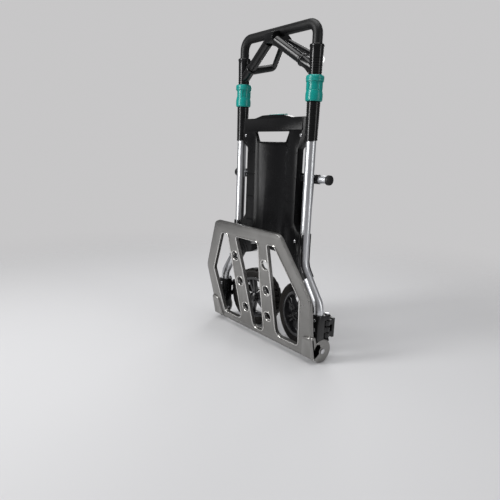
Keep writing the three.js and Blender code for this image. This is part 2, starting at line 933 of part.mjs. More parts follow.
function toePlate() {
  const mirror = (points) => points.map(({ x, y }) => new THREE.Vector2(-x, y)).reverse();
  const windows = [centreWindow, outerWindow, mirror(outerWindow)];
  const backY = plateFrontY + plateThickness;
  const skin = alongY(plateOutline, plateFrontY, plateFrontY + plateSkin, windows);
  const outerWall = alongY(plateOutline, plateFrontY, backY, [grown(plateOutline, -plateRib)]);
  const windowWalls = windows.map((outline) =>
    alongY(grown(outline, plateRib), plateFrontY, backY, [outline]),
  );
  const holes = [];
  const bosses = [];
  for (const side of [-1, 1]) {
    for (const [x, z] of holePlaces) {
      holes.push(alongY(circle(holeRadius, 14, side * x, z), plateFrontY - 10, backY + 10));
      bosses.push(alongY(circle(holeRadius + 4, 14, side * x, z), plateFrontY, backY - 2));
    }
  }
  const reach = 60; // how far up the plate the cheek's root runs
  const cheekProfile = roundedOutline([
    [plateFrontY, -plateHeel, 0],
    [plateFrontY, reach, 4],
    [plateFrontY + 14, reach - 6, 6],
    [plateFrontY + 16, 32, 10],
    [-4, 24, 0],
    [0, 0, 0],
  ]);
  const cheek = join(
    alongX(cheekProfile, cheekInnerX, cheekOuterX),
    alongX(circle(pivotZ, 28), cheekInnerX, cheekOuterX),
  );
  const root = alongY(
    roundedOutline([
      [190, -plateHeel, 4],
      [cheekOuterX, -plateHeel, 4],
      [cheekOuterX, reach - 6, 4],
      [196, reach - 14, 14],
    ]),
    plateFrontY,
    backY,
  );
  const pivotBore = alongX(circle(pivotRadius + runGap / 2, 20), -260, 260);
  return cut(
    join(skin, outerWall, ...windowWalls, ...bosses, cheek, mirrored(cheek), root, mirrored(root)),
    ...holes,
    pivotBore,
  );
}

const toeGroup = new THREE.Group();
toeGroup.position.set(0, pivotY, pivotZ);
toeGroup.rotation.x = radians(leanDegrees);
truck.add(toeGroup);
add(toeGroup, 'toe_plate', toePlate(), castAluminium);

// ---- wheels on their folding arms, drawn in the frame plane and swung back by the lean ----

const armFrontY = 21; // clear of the tyre, which stands in front of the arm
const armBackY = armFrontY + armThickness;
const hubRadius = 17;
const spokeCount = 5;

// A piece turned about the wheel's axis, given with its axis on Z and Z = 0 in the middle plane.
const onWheelAxis = (geometry) =>
  geometry.rotateX(-Math.PI / 2).translate(-wheelArmLength, -wheelOffset, wheelCentreZ);

function wheelArm() {
  const armRootZ = knuckleBand(3)[0] - 2;
  const armShoulderZ = knuckleBand(1)[1] + 2;
  const plate = alongY(
    roundedOutline([
      [0, armRootZ, 0],
      [0, armShoulderZ, 0],
      [-20, armShoulderZ, 10],
      [-wheelArmLength + 4, wheelCentreZ + 20, 12],
      [-wheelArmLength - 20, wheelCentreZ + 12, 12],
      [-wheelArmLength - 20, wheelCentreZ - 12, 12],
      [-wheelArmLength + 4, wheelCentreZ - 20, 12],
      [-20, armRootZ, 10],
    ]),
    armFrontY,
    armBackY,
  );
  const knuckles = [1, 3].flatMap((i) => {
    const [z0, z1] = knuckleBand(i);
    return [knuckle(i), box(2 - knuckleRadius, 0, 0, armFrontY + 2, z0 + 1, z1 - 1)];
  });
  const stiffener = alongY(
    roundedOutline([
      [-14, armRootZ + 10, 4],
      [-14, armShoulderZ - 10, 4],
      [-wheelArmLength + 22, wheelCentreZ + 8, 4],
      [-wheelArmLength + 22, wheelCentreZ - 8, 4],
    ]),
    armBackY - 1,
    armBackY + 4,
  );
  const boss = rod(15, armBackY - 1 + wheelOffset, armBackY + 5 + wheelOffset, 24);
  const axleBore = rod(axleRadius + touchGap, -60, 80, 20);
  const pinBore = rod(hingePinRadius + touchGap, 40, 170, 16);
  return cut(join(plate, ...knuckles, stiffener, onWheelAxis(boss)), onWheelAxis(axleBore), pinBore);
}

function tyre() {
  const half = wheelWidth / 2;
  return turned(
    [
      [tyreBeadRadius + touchGap, -half + 3],
      [tyreBeadRadius + 10, -half],
      [wheelRadius - 9, -half],
      [wheelRadius - 3, -half + 4],
      [wheelRadius, -half + 10],
      [wheelRadius, half - 10],
      [wheelRadius - 3, half - 4],
      [wheelRadius - 9, half],
      [tyreBeadRadius + 10, half],
      [tyreBeadRadius + touchGap, half - 3],
    ],
    32,
  );
}

function rim() {
  const half = wheelWidth / 2 - 3;
  const band = turned(
    [
      [tyreBeadRadius - 6, -half],
      [tyreBeadRadius, -half],
      [tyreBeadRadius, half],
      [tyreBeadRadius - 6, half],
      [tyreBeadRadius - 9, 4],
      [tyreBeadRadius - 9, -4],
    ],
    32,
  );
  const hub = ring(hubRadius, axleRadius + runGap / 2, -half - 1, half + 1, 24);
  const spokes = [];
  for (let i = 0; i < spokeCount; i++) {
    for (const lean of [-9, 9]) {
      const spoke = box(hubRadius - 3, tyreBeadRadius - 5, -3.5, 3.5, -half + 4, 6);
      spokes.push(spoke.rotateZ(radians(lean + (360 * i) / spokeCount)));
    }
  }
  const clearHub = rod(axleRadius + runGap / 2, -60, 60, 24);
  return cut(join(band, hub, ...spokes), clearHub);
}

function hubCap() {
  const seat = -(wheelWidth / 2 - 3) - 1 - touchGap;
  return turned(
    [
      [0, seat],
      [hubRadius - 1, seat],
      [hubRadius - 2, seat - 2],
      [hubRadius - 8, seat - 4],
      [0, seat - 4.5],
    ],
    24,
  );
}

function axle() {
  const front = -(wheelWidth / 2 - 3);
  const armBack = armBackY + 5 + wheelOffset;
  return join(
    rod(axleRadius, front, armBack + 2, 20),
    rod(axleRadius + 5, armBack + touchGap, armBack + 6, 6),
  );
}

for (const [side, sign] of [
  ['right', 1],
  ['left', -1],
]) {
  const swing = new THREE.Group();
  swing.position.set(sign * wheelPivotX, wheelPivotY, 0);
  swing.rotation.z = radians(-sign * leanDegrees);
  truck.add(swing);
  const onSide = (geometry) => (sign > 0 ? geometry : mirrored(geometry));
  add(swing, `${side}_wheel_arm`, onSide(wheelArm()), blackPlastic);
  add(swing, `${side}_axle`, onSide(onWheelAxis(axle())), steel);
  add(swing, `${side}_tyre`, onSide(onWheelAxis(tyre())), tyreRubber);
  add(swing, `${side}_rim`, onSide(onWheelAxis(rim())), blackPlastic);
  add(swing, `${side}_hub_cap`, onSide(onWheelAxis(hubCap())), blackPlastic);
}

// ---- rear support: two arms and a cross bar, folded up behind the panel ----

const supportArmOuterX = poleHalfSpacing - tubeRadius - 3;

add(
  truck,
  'support_axle',
  alongX(
    circle(supportAxleRadius, 20, supportHingeY, supportHingeZ),
    1 - supportArmOuterX,
    supportArmOuterX - 1,
  ),
  steel,
);

function supportArm() {
  const frontY = supportHingeY - 8;
  const backY = supportHingeY + 8;
  const slab = alongX(
    roundedOutline([
      [frontY, supportHingeZ, 0],
      [backY, supportHingeZ, 0],
      [supportHingeY + supportBarRadius + 2, supportBarZ - supportBarRadius - 1, 6],
      [supportHingeY + supportBarRadius + 2, supportBarZ + supportBarRadius + 3, 6],
      [frontY, supportBarZ + supportBarRadius + 3, 4],
    ]),
    supportArmInnerX,
    supportArmOuterX,
  );
  const barrel = alongX(
    circle(10.5, 24, supportHingeY, supportHingeZ),
    supportArmInnerX,
    supportArmOuterX,
  );
  const axleBore = alongX(
    circle(supportAxleRadius + runGap / 2, 20, supportHingeY, supportHingeZ),
    supportArmInnerX - 12,
    supportArmOuterX + 15,
  );
  const barBore = alongX(
    circle(supportBarRadius + touchGap, 24, supportHingeY, supportBarZ),
    80,
    supportArmOuterX + 15,
  );
  const lightening = [0, 1, 2].map((i) => {
    const z = supportHingeZ + 24 + i * 52;
    return box(supportArmInnerX + 3.5, supportArmOuterX - 3.5, supportHingeY - 2, 60, z, z + 46);
  });
  const web = box(
    93,
    supportArmInnerX + 2,
    frontY,
    frontY + 8,
    supportHingeZ + 32,
    supportBarZ + supportBarRadius + 3,
  );
  return cut(join(slab, barrel, web), axleBore, barBore, ...lightening);
}
addPair('support_arm', supportArm(), blackPlastic);

const onBar = (outer, inner, x0, x1, sides = 24) =>
  alongX(
    circle(outer, sides, supportHingeY, supportBarZ),
    x0,
    x1,
    inner ? [circle(inner, sides, supportHingeY, supportBarZ)] : [],
  );

add(
  truck,
  'support_bar',
  onBar(supportBarRadius, supportBarRadius - tubeWall, -supportBarHalfLength, supportBarHalfLength),
  aluminium,
);
addPair(
  'bar_collar',
  onBar(
    supportBarRadius + barCollarWall,
    supportBarRadius + touchGap,
    poleHalfSpacing - 2,
    poleHalfSpacing + 16,
  ),
  blackPlastic,
);

function barCap() {
  const end = supportBarHalfLength + touchGap;
  return join(
    onBar(supportBarRadius + 3, supportBarRadius + touchGap, end - 7, end),
    onBar(supportBarRadius + 3, 0, end, end + 3),
  );
}
addPair('bar_cap', barCap(), softRubber);

// The origin stands on the floor under the middle of the whole truck.
const extent = new THREE.Box3().setFromObject(truck);
truck.position.y = -(extent.min.y + extent.max.y) / 2;

export default truck;
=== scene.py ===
"""Folding aluminium hand truck: detailed pieces and materials over the CAD frame.

Lengths are in millimetres in the truck's own frame until a piece is made, when they become
metres. X is the width, +Y points to the back (the user's side), and Z is up from the floor.
"""

import math

import bmesh
import bpy
from mathutils import Matrix, Vector


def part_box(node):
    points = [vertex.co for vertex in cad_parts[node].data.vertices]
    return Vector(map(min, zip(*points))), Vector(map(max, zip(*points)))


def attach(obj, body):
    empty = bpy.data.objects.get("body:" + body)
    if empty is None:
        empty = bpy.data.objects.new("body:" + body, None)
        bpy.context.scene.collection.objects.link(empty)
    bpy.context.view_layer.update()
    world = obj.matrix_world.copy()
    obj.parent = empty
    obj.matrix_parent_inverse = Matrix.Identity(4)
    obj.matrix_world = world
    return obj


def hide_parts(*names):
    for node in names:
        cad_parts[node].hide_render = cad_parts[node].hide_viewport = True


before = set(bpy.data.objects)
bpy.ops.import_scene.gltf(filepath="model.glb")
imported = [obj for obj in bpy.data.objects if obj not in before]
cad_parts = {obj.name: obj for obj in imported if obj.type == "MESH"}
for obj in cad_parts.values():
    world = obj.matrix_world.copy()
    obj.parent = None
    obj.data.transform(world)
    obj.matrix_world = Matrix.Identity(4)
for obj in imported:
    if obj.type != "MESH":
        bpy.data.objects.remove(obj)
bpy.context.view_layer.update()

MM = 0.001
_tube_low, _tube_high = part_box("right_frame_tube")
SHIFT_Y = (_tube_low.y + _tube_high.y) / 2 / MM  # the plane of the poles, in the row frame

# ---- sizes shared with the CAD frame ----

POLE_X = 152
TUBE_R = 14
INNER_TUBE_R = 12
GRIP_R = 13.5
HANDLE_TOP_Z = 919
FOOT_X = 223
BEND_TOP_Z, BEND_LOW_Z = 268, 166
BEND_R = 62
LOCK_BOTTOM_Z, LOCK_TOP_Z = 722, 788
LOCK_CAP_Z = 772  # where the fixed cap sits on the turning collar
TOUCH_GAP = 0.3
INNER_TUBE_END_Z = 330
SLEEVE_BOTTOM_Z = 617
FITTING_TOP_Z = 865
GRIP_END_Z = 850
PANEL_FRONT_Y = -9
PIVOT = Vector((0, 6, 35))
LEAN = math.radians(12)
PLATE_FRONT_Y, PLATE_BACK_Y = -35, -24
PLATE_DEPTH, PLATE_SKIN = 11, 4
WHEEL_HINGE = Vector((234, 24, 0))
ARM_BACK_Y = 29
WHEEL_R, WHEEL_HALF = 98, 20
BEAD_R = 71
WHEEL_Z = 99
ARM_LENGTH, ARM_OFFSET = 132.4, 3.4
BRACE_FOOT = Vector((POLE_X, 0, 803))
BRACE_APEX = Vector((0, -25, 901))
SUPPORT_Y, SUPPORT_Z, BAR_Z = 28, 318, 516
BAR_R, BAR_HALF = 11, 203
FLOOR_HALF, FLOOR_DROP = 30, 0.0004  # metres


# ---- outlines ----


def rounded(corners, steps=6, closed=True):
    """Points through corners (u, v, radius), with an arc at each corner that has a radius."""
    points = []
    count = len(corners)
    for i, corner in enumerate(corners):
        here = Vector(corner[:2])
        radius = corner[2] if len(corner) > 2 else 0
        if not radius or (not closed and i in (0, count - 1)):
            points.append(here)
            continue
        back = (Vector(corners[i - 1][:2]) - here).normalized()
        ahead = (Vector(corners[(i + 1) % count][:2]) - here).normalized()
        half = back.angle(ahead) / 2
        centre = here + (back + ahead).normalized() * (radius / math.sin(half))
        start = here + back * (radius / math.tan(half)) - centre
        end = here + ahead * (radius / math.tan(half)) - centre
        turn = math.atan2(start.x * end.y - start.y * end.x, start.dot(end))
        for k in range(steps + 1):
            points.append(centre + Matrix.Rotation(turn * k / steps, 2) @ start)
    return points


def both_sides(corners):
    """An outline given on the +X side, from the middle plane round to the middle plane."""
    return list(corners) + [(-c[0], *c[1:]) for c in reversed(corners) if c[0] > 0]


def disc(radius, sides=48, u=0.0, v=0.0):
    turns = [2 * math.pi * i / sides for i in range(sides)]
    return [Vector((u + radius * math.cos(t), v + radius * math.sin(t))) for t in turns]


def grown(points, distance):
    """The outline moved outwards (or inwards, for a negative distance)."""
    area = sum(a.x * b.y - a.y * b.x for a, b in zip(points, points[1:] + points[:1]))
    sign = 1 if area > 0 else -1
    moved = []
    for i, point in enumerate(points):
        into = (point - points[i - 1]).normalized()
        out = (points[(i + 1) % len(points)] - point).normalized()
        normal = Vector((into.y + out.y, -into.x - out.x)).normalized() * sign
        spread = sign * (normal.x * out.y - normal.y * out.x)
        moved.append(point + normal * (distance / max(spread, 0.5)))
    return moved


# ---- shapes: each is (points, faces) in millimetres ----


def lathe(profile, sides=64, closed=False, radius_at=None):
    """A turned shape about Z. radius_at(angle, r, z) may change the radius round the turn."""
    points, faces = [], []
    rows = len(profile)
    for i in range(sides):
        angle = 2 * math.pi * i / sides
        for r, z in profile:
            here = radius_at(angle, r, z) if radius_at else r
            points.append(Vector((here * math.cos(angle), here * math.sin(angle), z)))
    for i in range(sides):
        a, b = i * rows, (i + 1) % sides * rows
        for k in range(rows if closed else rows - 1):
            n = (k + 1) % rows
            faces.append((a + k, b + k, b + n, a + n))
    return points, faces


def sweep(path, radius, sides=32, capped=True):
    """A round bar along a path. radius is a number, or one number for each path point."""
    radii = radius if isinstance(radius, (list, tuple)) else [radius] * len(path)
    points, faces = [], []
    tangent = (path[1] - path[0]).normalized()
    across = tangent.orthogonal().normalized()
    for i, centre in enumerate(path):
        into = (path[i] - path[i - 1]).normalized() if i else tangent
        out = (path[i + 1] - path[i]).normalized() if i < len(path) - 1 else into
        here = (into + out).normalized()
        across = tangent.rotation_difference(here) @ across
        tangent = here
        up = tangent.cross(across)
        for k in range(sides):
            angle = 2 * math.pi * k / sides
            points.append(centre + (across * math.cos(angle) + up * math.sin(angle)) * radii[i])
    for i in range(len(path) - 1):
        for k in range(sides):
            n = (k + 1) % sides
            faces.append((i * sides + k, i * sides + n, (i + 1) * sides + n, (i + 1) * sides + k))
    if capped:
        last = (len(path) - 1) * sides
        faces.append(tuple(reversed(range(sides))))
        faces.append(tuple(range(last, last + sides)))
    return points, faces


def bent(corners, radius, steps=12):
    """A path of straight runs joined by arcs of one bend radius."""
    path = [corners[0]]
    for before, here, after in zip(corners, corners[1:], corners[2:]):
        into, out = (here - before).normalized(), (after - here).normalized()
        turn = into.angle(out)
        side = (out - into * out.dot(into)).normalized()
        start = here - into * (radius * math.tan(turn / 2))
        for k in range(steps + 1):
            angle = turn * k / steps
            path.append(
                start + into * (radius * math.sin(angle)) + side * (radius * (1 - math.cos(angle)))
            )
    path.append(corners[-1])
    return path


def slab(outline, depth, holes=(), bevel=0.8, segments=2):
    """An outline in (u, v) with holes, made solid from w = 0 to depth with rounded edges."""
    curve = bpy.data.curves.new("outline", "CURVE")
    curve.dimensions = "2D"
    curve.fill_mode = "BOTH"
    curve.extrude = depth / 2 - bevel
    curve.bevel_depth = bevel
    curve.bevel_resolution = segments
    curve.offset = -bevel
    for loop in (outline, *holes):
        spline = curve.splines.new("POLY")
        spline.points.add(len(loop) - 1)
        for target, source in zip(spline.points, loop):
            target.co = (source[0], source[1], 0, 1)
        spline.use_cyclic_u = True
    holder = bpy.data.objects.new("outline", curve)
    bpy.context.scene.collection.objects.link(holder)
    mesh = bpy.data.meshes.new_from_object(
        holder.evaluated_get(bpy.context.evaluated_depsgraph_get())
    )
    points = [Vector((v.co.x, v.co.y, v.co.z + depth / 2)) for v in mesh.vertices]
    faces = [tuple(face.vertices) for face in mesh.polygons]
    bpy.data.objects.remove(holder)
    bpy.data.meshes.remove(mesh)
    bpy.data.curves.remove(curve)
    return points, faces


def placed(shape, matrix):
    points, faces = shape
    return [matrix @ p for p in points], faces


def mirrored(shape):
    points, faces = shape
    return [Vector((-p.x, p.y, p.z)) for p in points], [tuple(reversed(f)) for f in faces]


def moved(x, y, z):
    return Matrix.Translation((x, y, z))


def turn(degrees, axis):
    return Matrix.Rotation(math.radians(degrees), 4, axis)


def along_y(shape, back_y):
    """From (u, v, w) to x = u, z = v, with w running forwards from back_y."""
    points, faces = shape
    return [Vector((p.x, back_y - p.z, p.y)) for p in points], faces


def along_x(shape, x0):
    """From (u, v, w) to y = u, z = v, with w running outwards from x0."""
    points, faces = shape
    return [Vector((x0 + p.z, p.x, p.y)) for p in points], faces


def aimed(shape, start, direction):
    """A shape about Z, set to run from start along direction."""
    rotation = Vector((0, 0, 1)).rotation_difference(direction.normalized())
    return placed(shape, moved(*start) @ rotation.to_matrix().to_4x4())


# ---- materials ----


def material(name, base, rough, metallic=0.0, coat=0.0, **detail):
    """A surface whose colour, roughness and fine relief vary over it.

    detail: patch (size and strength of colour patches), grain (size and depth of the relief),
    streak (True for brushing along Z), wear (how far convex edges lighten: worn edges
    and a painted highlight along them), dust (not used).
    """
    made = bpy.data.materials.new(name)
    made.use_nodes = True
    nodes, links = made.node_tree.nodes, made.node_tree.links
    shader = nodes["Principled BSDF"]
    shader.inputs["Metallic"].default_value = metallic
    shader.inputs["Coat Weight"].default_value = coat
    shader.inputs["Coat Roughness"].default_value = 0.12
    shader.inputs["Specular IOR Level"].default_value = detail.get("specular", 0.5)
    place = nodes.new("ShaderNodeTexCoord")
    mapping = nodes.new("ShaderNodeMapping")
    links.new(place.outputs["Object"], mapping.inputs["Vector"])

    patch_scale, patch_strength = detail.get("patch", (18, 0.12))
    patch = nodes.new("ShaderNodeTexNoise")
    patch.inputs["Scale"].default_value = patch_scale
    patch.inputs["Detail"].default_value = 5
    links.new(mapping.outputs["Vector"], patch.inputs["Vector"])
    colour = nodes.new("ShaderNodeMix")
    colour.data_type = "RGBA"
    colour.inputs["A"].default_value = (*[c * (1 - patch_strength) for c in base], 1)
    colour.inputs["B"].default_value = (*[min(1, c * (1 + patch_strength)) for c in base], 1)
    links.new(patch.outputs["Fac"], colour.inputs["Factor"])
    last = colour.outputs["Result"]

    # Convex edges (high Pointiness) turn lighter: worn edges together with a painted highlight along
    # them.
    if detail.get("wear"):
        geometry = nodes.new("ShaderNodeNewGeometry")
        edge = nodes.new("ShaderNodeMapRange")
        edge.inputs["From Min"].default_value = 0.52
        edge.inputs["From Max"].default_value = 0.62
        links.new(geometry.outputs["Pointiness"], edge.inputs["Value"])
        worn_and_sheen_tint = nodes.new("ShaderNodeMix")
        worn_and_sheen_tint.data_type = "RGBA"
        worn_and_sheen_tint.inputs["B"].default_value = (*[min(1, c + detail["wear"]) for c in base], 1)
        links.new(last, worn_and_sheen_tint.inputs["A"])
        links.new(edge.outputs["Result"], worn_and_sheen_tint.inputs["Factor"])
        last = worn_and_sheen_tint.outputs["Result"]
    links.new(last, shader.inputs["Base Color"])

    grain_scale, grain_depth = detail.get("grain", (900, 0.05))
    grain = nodes.new("ShaderNodeTexNoise")
    grain.inputs["Scale"].default_value = grain_scale
    grain.inputs["Detail"].default_value = 3
    if detail.get("streak"):
        brushed = nodes.new("ShaderNodeMapping")
        brushed.inputs["Scale"].default_value = detail["streak"]
        links.new(place.outputs["Object"], brushed.inputs["Vector"])
        links.new(brushed.outputs["Vector"], grain.inputs["Vector"])
    else:
        links.new(mapping.outputs["Vector"], grain.inputs["Vector"])
    relief = nodes.new("ShaderNodeBump")
    relief.inputs["Strength"].default_value = grain_depth
    relief.inputs["Distance"].default_value = 0.0006
    links.new(grain.outputs["Fac"], relief.inputs["Height"])
    links.new(relief.outputs["Normal"], shader.inputs["Normal"])

    shine = nodes.new("ShaderNodeMapRange")
    spread = detail.get("spread", 0.06)
    shine.inputs["From Min"].default_value = 0.3
    shine.inputs["From Max"].default_value = 0.7
    shine.inputs["To Min"].default_value = max(0.02, rough - spread)
    shine.inputs["To Max"].default_value = rough + spread
    links.new(patch.outputs["Fac"], shine.inputs["Value"])
    links.new(shine.outputs["Result"], shader.inputs["Roughness"])
    return made


ALUMINIUM = material(
    "satin_aluminium", (0.76, 0.77, 0.79), 0.36, metallic=1.0,
    patch=(9, 0.04), grain=(260, 0.003), streak=(1.0, 1.0, 0.02), spread=0.015,
)
# Convex edges lighten by 0.35 here: worn edges and a painted highlight along the toe plate's rolled
# edges.
CAST = material(
    "cast_aluminium", (0.27, 0.265, 0.255), 0.34, metallic=0.9,
    patch=(13, 0.28), grain=(1100, 0.16), wear=0.35, spread=0.09,
)
# Lighter than the other black mouldings and lighter again on its edges: a painted sheen for the
# highlights on the rim and spoke edges.
RIM_PAINTED_SHEEN = material(
    "wheel_moulding_painted_sheen", (0.022, 0.022, 0.024), 0.17, coat=0.25,
    patch=(30, 0.2), grain=(1200, 0.05), wear=0.05,
)
# A lighter copy of the cast aluminium: painted highlight on the rolled beads round the toe plate's
# windows and holes.
CAST_PAINTED_HIGHLIGHT = material(
    "cast_edge_painted_highlight", (0.66, 0.65, 0.63), 0.24, metallic=0.95, patch=(30, 0.15), grain=(900, 0.08), wear=0.2,
)
STEEL = material(
    "zinc_plated_steel", (0.62, 0.62, 0.63), 0.22, metallic=1.0, patch=(60, 0.1), grain=(700, 0.08),
)
BLACK = material(
    "black_moulding", (0.004, 0.004, 0.0045), 0.2, patch=(22, 0.25), grain=(1500, 0.05), wear=0.01,
    specular=0.45,
)
GREY = material(
    "dark_panel", (0.0055, 0.0055, 0.006), 0.27, patch=(11, 0.2), grain=(1300, 0.14), wear=0.01,
    specular=0.13,
)
RUBBER = material(
    "soft_grip", (0.007, 0.007, 0.0075), 0.42, patch=(16, 0.2), grain=(1700, 0.3), wear=0.01,
    specular=0.32,
)
TYRE = material(
    "tyre_rubber", (0.008, 0.0065, 0.0055), 0.5, patch=(26, 0.3), grain=(900, 0.3), wear=0.03,
    specular=0.22,
)
TEAL = material(
    "teal_moulding", (0.0, 0.3, 0.265), 0.3, patch=(30, 0.1), grain=(1400, 0.1), wear=0.03,
)


# ---- making pieces ----


def piece(name, shapes, body, surface, node=None, sharp=34):
    """One Blender object in metres, riding on a body and standing for a CAD node if given."""
    mesh = bpy.data.meshes.new(name)
    points, faces = [], []
    for shape_points, shape_faces in shapes:
        offset = len(points)
        points += [Vector((p.x, p.y + SHIFT_Y, p.z)) * MM for p in shape_points]
        faces += [tuple(i + offset for i in face) for face in shape_faces]
    mesh.from_pydata(points, [], faces)
    return finished(name, mesh, body, surface, node, sharp)


def finished(name, mesh, body, surface, node, sharp):
    work = bmesh.new()
    work.from_mesh(mesh)
    bmesh.ops.remove_doubles(work, verts=work.verts, dist=1e-6)
    bmesh.ops.recalc_face_normals(work, faces=work.faces)
    work.to_mesh(mesh)
    work.free()
    mesh.shade_smooth()
    mesh.set_sharp_from_angle(angle=math.radians(sharp))
    mesh.materials.clear()
    mesh.materials.append(surface)
    made = bpy.data.objects.new(name, mesh)
    bpy.context.scene.collection.objects.link(made)
    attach(made, body)
    if node:
        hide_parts(node)
    return made


def softened(node, body, surface, width=0.7, segments=2, angle=28):
    """The CAD node's own shape with its edges rounded."""
    work = bmesh.new()
    work.from_mesh(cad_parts[node].data)
    bmesh.ops.remove_doubles(work, verts=work.verts, dist=1e-6)
    bmesh.ops.dissolve_limit(
        work, angle_limit=math.radians(1), verts=work.verts, edges=work.edges
    )
    edges = [e for e in work.edges if len(e.link_faces) == 2]
    edges = [e for e in edges if e.calc_face_angle(0) > math.radians(angle)]
    if width:
        bmesh.ops.bevel(
            work, geom=edges, offset=width * MM, segments=segments, profile=0.5,
            affect="EDGES", clamp_overlap=True,
        )
    mesh = bpy.data.meshes.new(node + "_soft")
    work.to_mesh(mesh)
    work.free()
    return finished(node + "_soft", mesh, body, surface, node, 40)


def pair(name, shapes, body, surface, sharp=34, stands_for=True):
    """A piece on each side. body may hold {side}."""
    for side in ("right", "left"):
        made = shapes if side == "right" else [mirrored(shape) for shape in shapes]
        piece(
            f"{side}_{name}_look", made, body.format(side=side), surface,
            f"{side}_{name}" if stands_for else None, sharp,
        )


def at(x, y, z):
    return Vector((x, y, z))


# ---- main tubes, sleeves and twist locks ----

foot_tube = bent(
    [at(POLE_X, 0, 768), at(POLE_X, 0, BEND_TOP_Z), at(FOOT_X, 0, BEND_LOW_Z), at(FOOT_X, 0, 97)],
    BEND_R,
)
pair("frame_tube", [sweep(foot_tube, TUBE_R, 48)], "frame", ALUMINIUM)


def sleeve():
    """A long tapered sleeve with fine ridges round it and a slanted lower end."""
    profile = [(TUBE_R + 0.3, SLEEVE_BOTTOM_Z), (16.6, SLEEVE_BOTTOM_Z)]
    top = LOCK_BOTTOM_Z - 0.3
    z = SLEEVE_BOTTOM_Z + 3
    while z < top - 4:
        share = (z - SLEEVE_BOTTOM_Z) / (top - SLEEVE_BOTTOM_Z)
        radius = 17 + 1.4 * share
        profile += [(radius, z), (radius, z + 2.6), (radius - 0.8, z + 3.2), (radius - 0.8, z + 4.4)]
        z += 5
    profile += [(18.4, top - 2), (17.6, top), (TUBE_R + 0.3, top)]
    points, faces = lathe(profile, 64)
    slant = 5.0
    for point in points:
        fade = max(0.0, 1 - (point.z - SLEEVE_BOTTOM_Z) / 40)
        point.z += slant * fade * (1 + point.y / 17) / 2
    return placed((points, faces), moved(POLE_X, 0, 0))


pair("pole_sleeve", [sleeve()], "frame", BLACK)

LOCK_R = 23.2
ARCH_DEPTH = 2.2


def lock_radius(angle, r, z):
    """Three recessed arches round the upper half of the twist collar; the soft waist is in the collar's
    profile.
    """
    if r < LOCK_R - 4:
        return r
    third = 2 * math.pi / 3
    across = abs((angle + math.radians(112)) % third - third / 2) / (third / 2)
    height = z - LOCK_BOTTOM_Z
    arch_top = 48 - 9 * across**4
    inside = across < 0.62 and 29 < height < arch_top
    near = across < 0.68 and 27.5 < height < arch_top + 1.5
    return r - (ARCH_DEPTH if inside else 0.8 if near else 0.0)


def lock_collar():
    top = LOCK_CAP_Z - TOUCH_GAP
    profile = [
        (TUBE_R + 0.6, LOCK_BOTTOM_Z),
        (LOCK_R - 2.6, LOCK_BOTTOM_Z),
        (LOCK_R - 1.1, LOCK_BOTTOM_Z + 1.2),
        (LOCK_R - 0.4, LOCK_BOTTOM_Z + 3.5),
    ]
    heights = [6, 9, 12, 15, 18, 20, 22, 24, 26, 27.4, 28.2, 29, 29.8]
    heights += [*range(31, 46, 2), 46, 47]
    for height in heights:
        bulge = math.sin(math.pi * min(1, height / 27)) if height < 27 else 0
        waist = math.exp(-(((height - 26) / 3.0) ** 2))
        profile.append((LOCK_R - 0.6 + 0.6 * bulge - 0.9 * waist, LOCK_BOTTOM_Z + height))
    profile += [(LOCK_R - 0.5, top - 1.5), (LOCK_R - 1.3, top), (TUBE_R + 0.6, top)]
    return placed(lathe(profile, 144, radius_at=lock_radius), moved(POLE_X, 0, 0))


def lock_cap():
    radius = LOCK_R + 1.1
    z = LOCK_CAP_Z
    bore = INNER_TUBE_R + 0.6
    profile = [
        (TUBE_R + TOUCH_GAP, z), (radius - 0.8, z), (radius, z + 0.8),
        (radius, z + 5), (radius - 0.5, z + 5.6), (radius - 0.5, z + 6.4), (radius, z + 7),
        (radius, z + 11.5), (radius - 0.7, z + 14), (radius - 2.2, z + 15.6),
        (radius - 3.6, LOCK_TOP_Z), (bore, LOCK_TOP_Z), (bore, z - 2),
    ]
    return placed(lathe(profile, 96), moved(POLE_X, 0, 0))


pair("lock_collar", [lock_collar()], "{side}_lock", TEAL, sharp=26)
pair("lock_cap", [lock_cap()], "frame", TEAL)

# ---- handle ----


def u_bar(end_z):
    return bent(
        [
            at(POLE_X, 0, end_z), at(POLE_X, 0, HANDLE_TOP_Z),
            at(-POLE_X, 0, HANDLE_TOP_Z), at(-POLE_X, 0, end_z),
        ],
        30,
        16,
    )


piece(
    "handle_tube_look", [sweep(u_bar(INNER_TUBE_END_Z), INNER_TUBE_R, 48)],
    "handle", ALUMINIUM, "handle_tube",
)
piece(
    "handle_grip_look", [sweep(u_bar(GRIP_END_Z), GRIP_R, 48)],
    "handle", RUBBER, "handle_grip",
)

brace_direction = (BRACE_APEX - BRACE_FOOT).normalized()
brace_length = (BRACE_APEX - BRACE_FOOT).length
SOCKET = 54


